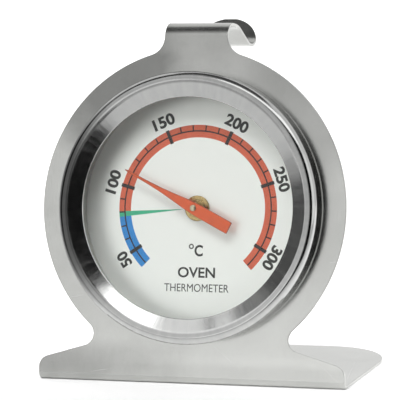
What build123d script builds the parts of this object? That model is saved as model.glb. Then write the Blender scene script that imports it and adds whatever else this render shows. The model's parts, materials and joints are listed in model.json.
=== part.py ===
from build123d import *
import math
import os

os.makedirs("parts", exist_ok=True)

# ---------------------------------------------------------------------------
# Driving dimensions, millimetres.
# Working frame of the dial: X right, Y back from the plate's front face,
# Z up along the plate, origin at the dial centre.  The whole assembly is
# leaned back at the end so that the foot is level.
# ---------------------------------------------------------------------------
plate_lean = 10.0        # degrees the plate leans back from vertical
sheet = 0.6              # stand sheet
plate_r = 30.0           # round part of the stand plate
case_hole_r = 23.75      # hole in the plate for the case
neck_half = 6.24         # half width of the neck and of the hook strip
neck_fillet = 3.7        # fillet from neck into the round plate
foot_half = 30.3         # half width of the foot
shoulder_slope = 16.15   # degrees the shoulder falls outward
shoulder_z = -28.94      # height of the shoulder line at the foot's side
waist_fillet = 2.31      # fillet between round plate and shoulder
shoulder_corner = 2.3    # rounded outer corner of the shoulder
foot_under = -33.1       # underside of the foot, at the front face plane
foot_len = 36.75         # depth of the foot
foot_corner = 12.9       # rear corner radius of the foot
foot_bend = 1.0          # centreline bend radius between plate and foot
crease_z = -28.4         # gentle set in the plate above the foot bend
crease_turn = 3.5        # degrees by which the sheet stands steeper below it
crease_bend = 45.0
hook_crest = 34.85       # top of the hook
hook_front_bend = 2.7    # centreline bend radii of the hook
hook_top_bend = 8.2
hook_u_bend = 4.6
hook_fall = 23.4         # slope of the falling leg
hook_rise = 57.0         # slope of the tongue
hook_knee_y = 6.14       # where crest and falling leg meet
hook_foot_y = 15.93      # where falling leg and tongue meet
tongue_len = 7.7

bezel_sheet = 0.4
bezel_wall_r = 25.45
bezel_ridge_r = 24.15
bezel_front = -4.5
bezel_shoulder = 1.3
bezel_crown = 3.0        # radius from the ridge into the slope
bezel_slope = 21.5       # degrees of the inner slope
lip_r = 20.7
lip_front = -3.4

case_r = 23.6            # outside of the drawn rear cup
case_sheet = 0.5
case_back = 9.6
bead_r = 25.3
swage_r = 24.8

lens_r = 22.9
lens_front = -2.95
lens_back = -1.45
spacer_in, spacer_out = 22.3, 22.9
dial_r = 22.9
dial_front, dial_back = 2.9, 3.4
support_in, support_out = 22.35, 22.9
vent_r = 1.1             # vent holes in the cup floor
vent_pcd_r = 15.5

bush_bore_r = 0.63
spindle_r = 0.60
bush_flange_r = 2.4
bush_step_r = 1.65
bush_shank_r = 1.5
bush_end = 5.6
bracket_back = 3.9
washer_back = 4.2
nut_back = 5.4
nut_flats = 4.6

pointer_front, pointer_back = 0.3, 0.6
pointer_rest = 152.9     # rest direction of the pointer, degrees from +X
pointer_tip_r = 15.45
pointer_tail = 8.05
tail_half = 1.17
boss_r = 1.15
boss_back = 1.8
spindle_front, spindle_rear = 0.05, 8.75

collar_front, collar_back = 5.9, 6.3
hub_front, hub_back = 6.3, 8.3
hub_r = 1.45
clip_front, clip_back = 8.3, 8.55

coil_front, coil_back = 6.3, 8.3
coil_strip = 0.3
coil_r0, coil_r1 = 1.6, 8.9
coil_turns = 6.0
anchor_r = 10.4          # radius of the bracket's tab
anchor_angle = -90.0     # direction of the bracket's arm


# ---------------------------------------------------------------------------
# Helpers
# ---------------------------------------------------------------------------
def unit(a, b):
    d = (b[0] - a[0], b[1] - a[1])
    n = math.hypot(*d)
    return d[0] / n, d[1] / n


def band(points, radii, width):
    """Closed face of a bent strip: centreline corners, bend radii, thickness.
    The two sides are exact offsets of the same lines and arcs."""
    sides = []
    for s in (width / 2, -width / 2):
        edges = []
        start = None
        for i in range(len(points)):
            p = points[i]
            if i == 0:
                u = unit(points[0], points[1])
                start = (p[0] - u[1] * s, p[1] + u[0] * s)
                continue
            u = unit(points[i - 1], p)
            if i == len(points) - 1:
                end = (p[0] - u[1] * s, p[1] + u[0] * s)
                edges.append(("line", start, end))
                continue
            w = unit(p, points[i + 1])
            turn = math.atan2(u[0] * w[1] - u[1] * w[0], u[0] * w[0] + u[1] * w[1])
            r = radii[i]
            cut = r * math.tan(abs(turn) / 2)
            a = (p[0] - u[0] * cut, p[1] - u[1] * cut)
            side = 1 if turn > 0 else -1
            c = (a[0] - u[1] * r * side, a[1] + u[0] * r * side)
            a_s = (a[0] - u[1] * s, a[1] + u[0] * s)
            rs = math.hypot(a_s[0] - c[0], a_s[1] - c[1])
            t0 = math.atan2(a_s[1] - c[1], a_s[0] - c[0])
            mid = (c[0] + rs * math.cos(t0 + turn / 2), c[1] + rs * math.sin(t0 + turn / 2))
            b_s = (c[0] + rs * math.cos(t0 + turn), c[1] + rs * math.sin(t0 + turn))
            edges.append(("line", start, a_s))
            edges.append(("arc", a_s, mid, b_s))
            start = b_s
        sides.append(edges)
    made = []
    for edges in sides:
        for e in edges:
            q = [Vector(0, x, y) for x, y in e[1:]]
            made.append(Line(*q) if e[0] == "line" else ThreePointArc(*q))
    for k in (0, -1):
        a = sides[0][k][1] if k == 0 else sides[0][k][-1]
        b = sides[1][k][1] if k == 0 else sides[1][k][-1]
        made.append(Line(Vector(0, *a), Vector(0, *b)))
    return Face(Wire.combine([m if isinstance(m, Edge) else m.edge() for m in made])[0])


def turned(points):
    """Solid of revolution about the dial axis from (radius, y) corners."""
    wire = Polyline(*[(r, y, 0) for r, y in points], close=True)
    return revolve(make_face(wire), Axis.Y, 360)


def tube(r_in, r_out, y0, y1, chamfer_in=0.0):
    return turned([(r_in, y0), (r_out, y0), (r_out, y1), (r_in, y1)])


def disc(r, y0, y1):
    """Plain cylinder about the dial axis."""
    return turned([(0, y0), (r, y0), (r, y1), (0, y1)])


def prism(face_xz, y0, y1):
    """Extrude a sketch drawn in X and Z from y0 to y1."""
    plane = Plane(origin=(0, y0, 0), x_dir=(1, 0, 0), z_dir=(0, -1, 0))
    return extrude(plane * face_xz, -(y1 - y0))


def about_y(shape, degrees):
    """Turn a shape about the dial axis, anticlockwise as seen from the front."""
    return Rot(0, -degrees, 0) * shape


# ---------------------------------------------------------------------------
# Stand: one sheet blank, bent into foot, plate and hook
# ---------------------------------------------------------------------------
c, s = math.cos(math.radians(plate_lean)), math.sin(math.radians(plate_lean))
half = sheet / 2
# foot centreline runs back and, in the dial frame, up by the lean
foot_mid = foot_under * c + half          # height of the foot's centreline
k1, k2 = math.cos(math.radians(crease_turn)), math.sin(math.radians(crease_turn))
crease_pt = (half, crease_z)
drop = (crease_z * c - half * s - foot_mid) / math.cos(math.radians(plate_lean - crease_turn))
bend_pt = (half + drop * k2, crease_z - drop * k1)
rear_pt = (foot_len * c, foot_under + foot_len * s)
rear_pt = (rear_pt[0] - half * s, rear_pt[1] + half * c)
leg = math.tan(math.radians(hook_fall))
crest_pt = (half, hook_crest - half)
knee_pt = (hook_knee_y, hook_crest - half)
u_pt = (hook_foot_y, knee_pt[1] - leg * (hook_foot_y - hook_knee_y))
tip_pt = (
    u_pt[0] + tongue_len * math.cos(math.radians(hook_rise)),
    u_pt[1] + tongue_len * math.sin(math.radians(hook_rise)),
)
strip = band(
    [rear_pt, bend_pt, crease_pt, crest_pt, knee_pt, u_pt, tip_pt],
    [0, foot_bend, crease_bend, hook_front_bend, hook_top_bend, hook_u_bend, 0],
    sheet,
)
bent = extrude(strip, 2 * 34.0, dir=(1, 0, 0))
bent = Pos(-34.0, 0, 0) * bent

# outline of the plate and neck, seen square on
outline = Circle(plate_r) + Pos(0, 33) * Rectangle(2 * neck_half, 16)


def shoulder(x):
    """Height of the foot's sloping shoulder line."""
    return shoulder_z - math.tan(math.radians(shoulder_slope)) * (x - foot_half)


outline = outline + make_face(
    Polyline(
        (-12, shoulder(12)), (12, shoulder(12)), (foot_half, shoulder(foot_half)), (foot_half, -37),
        (-foot_half, -37), (-foot_half, shoulder(foot_half)), close=True,
    )
)
neck_corners = outline.vertices().filter_by(lambda v: 27 < v.Y < 31 and abs(abs(v.X) - neck_half) < 0.3)
outline = fillet(neck_corners, neck_fillet)
waist_corners = outline.vertices().filter_by(lambda v: -27 < v.Y < -20 and 14 < abs(v.X) < 24)
outline = fillet(waist_corners, waist_fillet)
foot_corners = outline.vertices().filter_by(lambda v: abs(abs(v.X) - foot_half) < 0.1 and v.Y > -31)
outline = fillet(foot_corners, shoulder_corner)
front_cut = prism(outline, -1.0, 4.2)

# everything of the bent strip that is plate keeps the outline; hook keeps the neck
# width; foot keeps the foot width with rounded rear corners
plate_zone = Pos(0, 0.6, 1.2) * Box(80, 4.2, 64.4)
plate_part = bent & front_cut & plate_zone
hook_zone = Pos(0, 12, 35.0) * Box(2 * neck_half, 40, 12.0)
hook_part = (bent & hook_zone) - plate_zone
foot_zone_sketch = Pos(0, foot_len / 2) * Rectangle(2 * foot_half, foot_len + 0.0)
foot_zone = extrude(Plane.XY * foot_zone_sketch, 12, both=True)
foot_zone = fillet(
    foot_zone.edges().filter_by(Axis.Z).filter_by(lambda e: e.center().Y > foot_len - 1), foot_corner
)
# the foot region is laid along the foot, which rises by the lean in this frame
foot_zone = Pos(0, 0, foot_under) * (Rot(plate_lean, 0, 0) * foot_zone)
foot_part = (bent & foot_zone) - plate_zone
stand_plate = plate_part + hook_part + foot_part

# full-round end of the tongue
chord_a = (14.9, 31.9)
chord_b = (tip_pt[0] + 0.1, tip_pt[1] + 0.05)
chord = math.hypot(chord_b[0] - chord_a[0], chord_b[1] - chord_a[1])
chord_angle = math.degrees(math.atan2(chord_b[1] - chord_a[1], chord_b[0] - chord_a[0]))
round_len = 6.15
keep = Pos(0, (chord - round_len) / 2 - 5) * Rectangle(2 * neck_half + 2, chord - round_len + 10)
keep = keep + Pos(0, chord - round_len) * Ellipse(neck_half, round_len)
tongue_plane = Plane(
    origin=(0, chord_a[0], chord_a[1]),
    x_dir=(1, 0, 0),
    z_dir=(0, -math.sin(math.radians(chord_angle)), math.cos(math.radians(chord_angle))),
)
tongue_keep = extrude(tongue_plane * keep, 6, both=True)
tongue_space = Pos(0, 14.9 + 10, 36) * Box(30, 20, 14)
stand_plate = stand_plate - (tongue_space - tongue_keep)
stand_plate = stand_plate - disc(case_hole_r, -5, 3)

# ---------------------------------------------------------------------------
# Bezel: spun ring with a sloping inner face, rounded shoulder and a return
# flange that lies on the plate
# ---------------------------------------------------------------------------
def bezel_side(off):
    """Corners of the bezel's section, moved inward by off."""
    pts = []
    rw = bezel_wall_r - off
    base = 0.0 - off
    k = bezel_shoulder - off
    # base corner
    rb = 0.55 - off if off < 0.5 else 0.1
    for i in range(7):
        a = math.radians(90 - 15 * i)
        pts.append((rw - max(rb, 0.12) + max(rb, 0.12) * math.cos(a), base - max(rb, 0.12) + max(rb, 0.12) * math.sin(a)))
    cy = bezel_front + bezel_shoulder
    cr = bezel_wall_r - bezel_shoulder
    for i in range(13):
        a = math.radians(0 - 90 * i / 12)
        pts.append((cr + k * math.cos(a), cy + k * math.sin(a)))
    # slope from the ridge in to the lip, slightly hollow
    bend_w = bezel_crown * math.sin(math.radians(bezel_slope))
    for dr in (0.3, 0.6, 0.85, bend_w, cr - lip_r - 0.1):
        if dr <= bend_w:
            y = bezel_crown - math.sqrt(bezel_crown ** 2 - dr ** 2)
        else:
            y = bezel_crown * (1 - math.cos(math.radians(bezel_slope))) + (dr - bend_w) * math.tan(math.radians(bezel_slope))
        pts.append((cr - dr, bezel_front + y + off))
    return pts


outer = [(24.0, 0.0)] + bezel_side(0.0) + [(lip_r, lip_front + 0.15), (lip_r, lip_front + 0.45)]
inner = [(24.0, -bezel_sheet)] + bezel_side(bezel_sheet)
bezel_ring = turned(outer + inner[::-1])

# ---------------------------------------------------------------------------
# Rear case: drawn cup with a bead behind the plate and its front edge swaged
# out over the bezel's return flange
# ---------------------------------------------------------------------------
ci = case_r - case_sheet
fy = case_back
rf = 2.0
arc_o = [
    (case_r - rf + rf * math.cos(math.radians(a)), fy - rf + rf * math.sin(math.radians(a)))
    for a in range(0, 91, 10)
]
ri_ = rf - case_sheet
arc_i = [
    (ci - ri_ + ri_ * math.cos(math.radians(a)), fy - case_sheet - ri_ + ri_ * math.sin(math.radians(a)))
    for a in range(0, 91, 10)
]
cup_pts = (
    [(ci, -0.85), (swage_r, -0.85), (swage_r, -0.42), (case_r, -0.42), (case_r, 0.62), (bead_r - 0.25, 0.62),
     (bead_r, 0.85), (bead_r, 1.15), (bead_r - 0.25, 1.4), (case_r, 1.4)]
    + arc_o
    + [(0, fy), (0, fy - case_sheet)]
    + arc_i[::-1]
)
rear_case = turned(cup_pts)
for k in range(8):
    a = math.radians(22.5 + 45 * k)
    hole = Pos(vent_pcd_r * math.cos(a), 0, vent_pcd_r * math.sin(a)) * disc(vent_r, fy - 2, fy + 2)
    rear_case = rear_case - hole

# ---------------------------------------------------------------------------
# Window, spacer, dial and dial support, stacked between lip and cup floor
# ---------------------------------------------------------------------------
lens = turned(
    [(0, lens_front), (lens_r - 0.25, lens_front), (lens_r, lens_front + 0.25), (lens_r, lens_back - 0.2),
     (lens_r - 0.2, lens_back), (0, lens_back)]
)
lens_spacer_ring = tube(spacer_in, spacer_out, lens_back, dial_front)
dial_plate = tube(bush_shank_r, dial_r, dial_front, dial_back)
support_back = case_back - case_sheet
dial_support_ring = turned(
    [(support_in, dial_back), (support_out, dial_back), (support_out, support_back - 1.6),
     (support_out - 1.3, support_back), (support_out - 1.9, support_back), (support_in, support_back - 1.9)]
)

# ---------------------------------------------------------------------------
# Bush, washer, nut and coil bracket
# ---------------------------------------------------------------------------
dial_bush = turned(
    [(bush_bore_r, 2.0), (bush_step_r - 0.15, 2.0), (bush_step_r, 2.12), (bush_step_r, 2.45),
     (bush_flange_r - 0.12, 2.45), (bush_flange_r, 2.57), (bush_flange_r, dial_front),
     (bush_shank_r, dial_front), (bush_shank_r, bush_end - 0.15), (bush_shank_r - 0.15, bush_end),
     (bush_bore_r, bush_end)]
)
bush_washer = tube(bush_shank_r, 2.7, bracket_back, washer_back)
nut_face = RegularPolygon(nut_flats / 2, 6, major_radius=False) - Circle(bush_shank_r)
bush_nut = prism(nut_face, washer_back, nut_back)

arm_half = 2.2
arm = Circle(3.4) + Pos((anchor_r + 0.5) / 2, 0) * Rectangle(anchor_r + 0.5, 2 * arm_half)
arm = arm - Circle(bush_shank_r)
coil_bracket = prism(arm, dial_back, bracket_back)
tab = Pos(anchor_r + 0.25, (dial_back + coil_back) / 2, 0) * Box(0.5, coil_back - dial_back, 2 * arm_half)
coil_bracket = coil_bracket + tab
bend_edge = coil_bracket.edges().filter_by(Axis.Z).filter_by(
    lambda e: abs(e.center().X - (anchor_r + 0.5)) < 0.01 and abs(e.center().Y - dial_back) < 0.01
)
coil_bracket = fillet(bend_edge, 0.4)
rivet_y = (coil_front + coil_back) / 2


def along_x(r, x0, x1):
    return Pos((x0 + x1) / 2, rivet_y, 0) * (Rot(0, 90, 0) * Cylinder(r, x1 - x0))


coil_bracket = coil_bracket - along_x(0.45, anchor_r - 2, anchor_r + 2)

# flat clip that presses the coil's outer end against the tab, and its rivet
clip_plate = Pos(anchor_r - coil_strip - 0.2, rivet_y, 0) * Box(0.4, 1.9, 3.0)
coil_clip = clip_plate - along_x(0.45, anchor_r - 2, anchor_r + 2)
anchor_rivet = (
    along_x(0.45, anchor_r - coil_strip - 0.4, anchor_r + 0.5)
    + along_x(0.8, anchor_r + 0.5, anchor_r + 0.85)
    + along_x(0.8, anchor_r - coil_strip - 0.75, anchor_r - coil_strip - 0.4)
)

# ---------------------------------------------------------------------------
# Bimetal coil: flat spiral from the hub out to the bracket's tab
# ---------------------------------------------------------------------------
steps = 16
n = int(coil_turns * steps)
ho = coil_strip / 2


def spiral(off):
    pts = []
    for i in range(n + 1):
        f = i / n
        th = 2 * math.pi * coil_turns * (f - 1) - 0.55
        r = coil_r0 + (coil_r1 - coil_r0) * f
        dr = (coil_r1 - coil_r0) / (2 * math.pi * coil_turns)
        nx, nz = math.cos(th), math.sin(th)
        tx, tz = -math.sin(th) * r + dr * math.cos(th), math.cos(th) * r + dr * math.sin(th)
        ln = math.hypot(tx, tz)
        nx, nz = tz / ln, -tx / ln
        pts.append((r * math.cos(th) + nx * off, r * math.sin(th) + nz * off))
    # run out to the tab, ending flat against it
    pts.append((anchor_r - coil_strip / 2 - 0.62 + off, -3.4))
    pts.append((anchor_r - coil_strip / 2 - 0.10 + off, -2.2))
    return pts


side_a = spiral(-ho) + [(anchor_r - coil_strip, -1.5)]
side_b = spiral(ho) + [(anchor_r, -1.5)]
top_a, top_b = (anchor_r - coil_strip, 1.9), (anchor_r, 1.9)
ea = Spline(*side_a)
eb = Spline(*side_b)
face = make_face([ea, Line(side_a[-1], top_a), Line(top_a, top_b), Line(top_b, side_b[-1]), eb, Line(side_b[0], side_a[0])])
bimetal_coil = prism(face, coil_front, coil_back)
bimetal_coil = bimetal_coil - along_x(0.45, anchor_r - 2, anchor_r + 2)

coil_hub = tube(spindle_r, hub_r, hub_front, hub_back)

# turn bracket, coil, clip and rivet so that the arm points down
bracket_set = {}
for name, shape in (("coil_bracket", coil_bracket), ("coil_clip", coil_clip),
                    ("anchor_rivet", anchor_rivet), ("bimetal_coil", bimetal_coil)):
    bracket_set[name] = about_y(shape, anchor_angle)

# ---------------------------------------------------------------------------
# Pointer body: spindle, collar, hub, clip, boss and pointer
# ---------------------------------------------------------------------------
spindle = turned(
    [(0, spindle_front), (spindle_r - 0.1, spindle_front), (spindle_r, spindle_front + 0.1),
     (spindle_r, spindle_rear - 0.1), (spindle_r - 0.1, spindle_rear), (0, spindle_rear)]
)
spindle_collar = tube(spindle_r, 1.5, collar_front, collar_back)
spindle_clip = tube(spindle_r, 1.2, clip_front, clip_back)
pointer_boss = turned(
    [(spindle_r, pointer_back), (boss_r, pointer_back), (boss_r, boss_back - 0.1), (boss_r - 0.1, boss_back),
     (spindle_r, boss_back)]
)
hand = make_face(
    Polyline(
        (-pointer_tail, -tail_half), (-pointer_tail, tail_half), (-1.0, tail_half), (1.6, 1.0),
        (4.2, 0.72), (7.4, 0.42), (10.6, 0.28), (14.6, 0.19), (pointer_tip_r, 0.08),
        (pointer_tip_r, -0.08), (14.6, -0.19), (10.6, -0.28), (7.4, -0.42), (4.2, -0.72),
        (1.6, -1.0), (-1.0, -tail_half), close=True,
    )
)
hand = hand - Circle(spindle_r)
pointer = about_y(prism(hand, pointer_front, pointer_back), pointer_rest)

# ---------------------------------------------------------------------------
# Lean the assembly back, put the foot's underside at z = 0 and the outline's
# centre at x = y = 0, and write one file per piece
# ---------------------------------------------------------------------------
nodes = {
    "stand_plate": stand_plate,
    "bezel_ring": bezel_ring,
    "lens": lens,
    "lens_spacer_ring": lens_spacer_ring,
    "dial_plate": dial_plate,
    "dial_support_ring": dial_support_ring,
    "rear_case": rear_case,
    "dial_bush": dial_bush,
    "bush_washer": bush_washer,
    "bush_nut": bush_nut,
    "coil_bracket": bracket_set["coil_bracket"],
    "coil_clip": bracket_set["coil_clip"],
    "anchor_rivet": bracket_set["anchor_rivet"],
    "bimetal_coil": bracket_set["bimetal_coil"],
    "pointer": pointer,
    "pointer_boss": pointer_boss,
    "spindle": spindle,
    "spindle_collar": spindle_collar,
    "coil_hub": coil_hub,
    "spindle_clip": spindle_clip,
}
leaned = {k: Rot(-plate_lean, 0, 0) * v for k, v in nodes.items()}
boxes = [v.bounding_box() for v in leaned.values()]
lo_y = min(b.min.Y for b in boxes)
hi_y = max(b.max.Y for b in boxes)
lo_z = min(b.min.Z for b in boxes)
shift = (0, -(lo_y + hi_y) / 2, -lo_z)
print("dial centre in the finished frame:", [round(q, 4) for q in shift])
for name, shape in leaned.items():
    placed = Pos(*shift) * shape
    solids = placed.solids()
    print(name, "solids", len(solids), "volume", round(sum(q.volume for q in solids), 2),
          "valid", all(q.is_valid for q in solids))
    export_step(Compound(children=solids) if len(solids) > 1 else solids[0], f"parts/{name}.step")
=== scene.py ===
import json
import math

import bmesh
import bpy
import numpy as np
from mathutils import Matrix, Vector
from mathutils.geometry import delaunay_2d_cdt


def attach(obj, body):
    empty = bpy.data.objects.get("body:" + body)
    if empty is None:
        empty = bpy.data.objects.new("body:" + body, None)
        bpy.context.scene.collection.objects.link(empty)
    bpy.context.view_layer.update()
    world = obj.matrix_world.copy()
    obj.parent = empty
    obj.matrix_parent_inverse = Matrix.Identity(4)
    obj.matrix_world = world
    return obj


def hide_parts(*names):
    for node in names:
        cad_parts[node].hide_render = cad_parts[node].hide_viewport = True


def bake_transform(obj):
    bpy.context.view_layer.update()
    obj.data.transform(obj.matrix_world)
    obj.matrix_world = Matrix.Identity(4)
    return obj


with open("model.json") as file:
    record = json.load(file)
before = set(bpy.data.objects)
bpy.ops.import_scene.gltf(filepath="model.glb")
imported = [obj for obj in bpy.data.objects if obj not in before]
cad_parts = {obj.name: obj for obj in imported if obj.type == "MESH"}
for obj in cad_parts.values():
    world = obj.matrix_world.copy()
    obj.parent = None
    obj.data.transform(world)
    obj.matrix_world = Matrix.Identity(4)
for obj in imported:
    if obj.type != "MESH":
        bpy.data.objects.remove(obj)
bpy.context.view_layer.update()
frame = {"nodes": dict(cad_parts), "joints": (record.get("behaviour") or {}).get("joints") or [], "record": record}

# ---------------------------------------------------------------------------
# The dial's own frame: X right, Y back from the plate's front face, V up along
# the plate, origin at the dial centre, millimetres. The joint's axis and place
# give it in the row frame.
# ---------------------------------------------------------------------------
JOINT = frame["joints"][0]
DC = np.array(JOINT["pos_m"], float)
BACK = np.array(JOINT["axis"], float)
BACK = BACK / np.linalg.norm(BACK)
UP = np.cross(np.array([1.0, 0, 0]), BACK)
UP = UP / np.linalg.norm(UP)
RIGHT = np.array([1.0, 0, 0])
BASIS = np.stack([RIGHT, BACK, UP])


def to_row(p):
    """Dial-frame points in millimetres to the row frame in metres."""
    return np.asarray(p, float) @ BASIS * 0.001 + DC


def to_row_dir(n):
    n = np.asarray(n, float) @ BASIS
    return n / np.maximum(np.linalg.norm(n, axis=-1, keepdims=True), 1e-12)


def make_object(name, points, faces, normals=None, smooth=True):
    me = bpy.data.meshes.new(name)
    me.from_pydata([tuple(p) for p in to_row(points)], [], [tuple(f) for f in faces])
    me.validate()
    me.polygons.foreach_set("use_smooth", [smooth] * len(me.polygons))
    if normals is not None:
        me.normals_split_custom_set_from_vertices([tuple(n) for n in to_row_dir(normals)])
    me.update()
    ob = bpy.data.objects.new(name, me)
    bpy.context.scene.collection.objects.link(ob)
    return ob


# ---------------------------------------------------------------------------
# Turned pieces
# ---------------------------------------------------------------------------
def rounded(corners, step=9.0):
    """Closed line of corners (a, b, radius) to points (a, b) and outward normals.
    A corner with no radius keeps one point and the mean of its sides' normals."""
    n = len(corners)
    area = 0.0
    for i in range(n):
        a, b = corners[i], corners[(i + 1) % n]
        area += a[0] * b[1] - b[0] * a[1]
    side = 1.0 if area > 0 else -1.0
    pts, nrm = [], []
    for i in range(n):
        p0, p, p1 = corners[i - 1], corners[i], corners[(i + 1) % n]
        u = np.array([p[0] - p0[0], p[1] - p0[1]], float)
        w = np.array([p1[0] - p[0], p1[1] - p[1]], float)
        u /= np.linalg.norm(u)
        w /= np.linalg.norm(w)
        nu = np.array([u[1], -u[0]]) * side
        nw = np.array([w[1], -w[0]]) * side
        r = p[2] if len(p) > 2 else 0.0
        turn = math.atan2(u[0] * w[1] - u[1] * w[0], u @ w)
        if r <= 0 or abs(turn) < 0.02:
            m = nu + nw
            pts.append((p[0], p[1]))
            nrm.append(tuple(m / np.linalg.norm(m)))
            continue
        cut = r * math.tan(abs(turn) / 2)
        a = np.array([p[0], p[1]]) - u * cut
        sgn = 1.0 if turn > 0 else -1.0
        c = a + np.array([-u[1], u[0]]) * r * sgn
        k = max(2, int(math.ceil(abs(math.degrees(turn)) / step)))
        t0 = math.atan2(a[1] - c[1], a[0] - c[0])
        for j in range(k + 1):
            t = t0 + turn * j / k
            d = np.array([math.cos(t), math.sin(t)])
            pts.append(tuple(c + d * r))
            nrm.append(tuple(d * (1.0 if sgn * side > 0 else -1.0)))
    return pts, nrm


def lathe(name, corners, seg=240, step=9.0):
    """Solid of revolution about the dial axis from (radius, y, corner radius)."""
    pts, nrm = rounded(corners, step)
    ang = np.arange(seg) * 2 * math.pi / seg
    verts, normals, rings = [], [], []
    for (r, y), (nr, ny) in zip(pts, nrm):
        if r < 1e-6:
            rings.append([len(verts)])
            verts.append((0, y, 0))
            normals.append((0, 1.0 if ny > 0 else -1.0, 0))
        else:
            rings.append(list(range(len(verts), len(verts) + seg)))
            for a in ang:
                verts.append((r * math.cos(a), y, r * math.sin(a)))
                normals.append((nr * math.cos(a), ny, nr * math.sin(a)))
    faces = []
    m = len(rings)
    for i in range(m):
        a, b = rings[i], rings[(i + 1) % m]
        if len(a) == 1 and len(b) == 1:
            continue
        for j in range(seg):
            k = (j + 1) % seg
            if len(a) == 1:
                faces.append((a[0], b[j], b[k]))
            elif len(b) == 1:
                faces.append((a[j], b[0], a[k]))
            else:
                faces.append((a[j], b[j], b[k], a[k]))
    # wind the faces the way their normals point
    v = np.array(verts)
    nn = np.array(normals)
    flip = 0.0
    for f in faces[:: max(1, len(faces) // 400)]:
        e = np.cross(v[f[1]] - v[f[0]], v[f[2]] - v[f[0]])
        flip += float(e @ nn[list(f)].mean(0))
    if flip < 0:
        faces = [f[::-1] for f in faces]
    return make_object(name, verts, faces, normals)


# ---------------------------------------------------------------------------
# Sheet pieces: a flat blank with rolled edges, laid on a bent middle surface
# ---------------------------------------------------------------------------
def outline_normals(loop, outward=True):
    p = np.array(loop, float)
    e = np.roll(p, -1, 0) - p
    ln = np.maximum(np.linalg.norm(e, axis=1, keepdims=True), 1e-12)
    en = np.stack([e[:, 1], -e[:, 0]], 1) / ln
    area = float(np.sum(p[:, 0] * np.roll(p[:, 1], -1) - np.roll(p[:, 0], -1) * p[:, 1]))
    if area < 0:
        en = -en
    n = en + np.roll(en, 1, 0)
    n /= np.maximum(np.linalg.norm(n, axis=1, keepdims=True), 1e-12)
    return n if outward else -n


def inside(poly, q):
    """Which points q lie inside the closed polygon."""
    poly, q = np.asarray(poly), np.asarray(q)
    hit = np.zeros(len(q), bool)
    j = len(poly) - 1
    for i in range(len(poly)):
        xi, yi = poly[i]
        xj, yj = poly[j]
        if (yi > yj) != (yj > yi) or yi != yj:
            c = ((yi > q[:, 1]) != (yj > q[:, 1])) & (
                q[:, 0] < (xj - xi) * (q[:, 1] - yi) / (yj - yi + 1e-300) + xi
            )
            hit ^= c
        j = i
    return hit


def sheet_piece(name, outer, holes, links, half, edge, surface, normals=None):
    """A blank with the outline outer and round holes, of thickness 2*half, with edges
    rolled to the radius edge. links joins outline points by index, where the blank is
    bent. surface(x, s, h) gives points, and surface(x, s, None, n) directions."""
    loops = [np.array(outer, float)] + [np.array(h, float) for h in holes]
    nrms = [normals if normals is not None else outline_normals(outer)]
    nrms += [outline_normals(h, outward=False) for h in holes]
    flat = [l - n * edge for l, n in zip(loops, nrms)]
    coords, edges, base = [], [], []
    for l in flat:
        b = len(coords)
        base.append(b)
        coords += [tuple(p) for p in l]
        edges += [(b + i, b + (i + 1) % len(l)) for i in range(len(l))]
    edges += [(a, b) for a, b in links]
    out = delaunay_2d_cdt([Vector(c) for c in coords], edges, [], 0, 1e-7)
    v2, tris, ov = out[0], out[2], out[3]
    co = np.array([tuple(v) for v in v2])
    index = {}
    for new, olds in enumerate(ov):
        for o in olds:
            index[o] = new
    cen = np.array([co[list(t)].mean(0) for t in tris])
    keep = inside(flat[0], cen)
    for h in flat[1:]:
        keep &= ~inside(h, cen)
    tris = [t for t, k in zip(tris, keep) if k]
    used = sorted({i for t in tris for i in t})
    remap = {u: i for i, u in enumerate(used)}
    n0 = len(used)
    verts, normals3, faces = [], [], []
    face_xy = co[used]
    for sgn in (1, -1):
        off = len(verts)
        pts = surface(face_xy[:, 0], face_xy[:, 1], np.full(n0, half * sgn))
        nn = surface(face_xy[:, 0], face_xy[:, 1], None, np.tile([0.0, 0.0, float(sgn)], (n0, 1)))
        verts += list(pts)
        normals3 += list(nn)
        for t in tris:
            ii = [off + remap[i] for i in t]
            faces.append(ii if sgn > 0 else ii[::-1])
    # rolled edges
    k = 5
    for li, (l, n) in enumerate(zip(loops, nrms)):
        m = len(l)
        top = [remap[index[base[li] + i]] for i in range(m)]
        bottom = [n0 + t for t in top]
        rings = [top]
        for sgn in (1, -1):
            for j in range(1, k + 1) if sgn > 0 else range(k, 0, -1):
                a = math.radians(90.0 * j / k)
                inset = edge * (1 - math.sin(a))
                h = sgn * (half - edge + edge * math.cos(a))
                q = l - n * inset
                pts = surface(q[:, 0], q[:, 1], np.full(m, h))
                d = np.concatenate([n * math.sin(a), np.full((m, 1), sgn * math.cos(a))], 1)
                nn = surface(q[:, 0], q[:, 1], None, d)
                rings.append(list(range(len(verts), len(verts) + m)))
                verts += list(pts)
                normals3 += list(nn)
        rings.append(bottom)
        for a, b in zip(rings[:-1], rings[1:]):
            for i in range(m):
                j = (i + 1) % m
                faces.append((a[i], b[i], b[j], a[j]))
    # wind every face by its vertex normals
    v, nn = np.array(verts), np.array(normals3)
    made = []
    for f in faces:
        f = list(f)
        e = np.cross(v[f[1]] - v[f[0]], v[f[2]] - v[f[0]])
        if len(f) == 4:
            e = e + np.cross(v[f[2]] - v[f[0]], v[f[3]] - v[f[0]])
        made.append(tuple(f if e @ nn[f].sum(0) >= 0 else f[::-1]))
    return make_object(name, verts, made, normals3)


def arc(cx, cy, r, a0, a1, step=2.0):
    k = max(2, int(math.ceil(abs(a1 - a0) / step)))
    return [
        (cx + r * math.cos(math.radians(a0 + (a1 - a0) * i / k)), cy + r * math.sin(math.radians(a0 + (a1 - a0) * i / k)))
        for i in range(k + 1)
    ]


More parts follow.
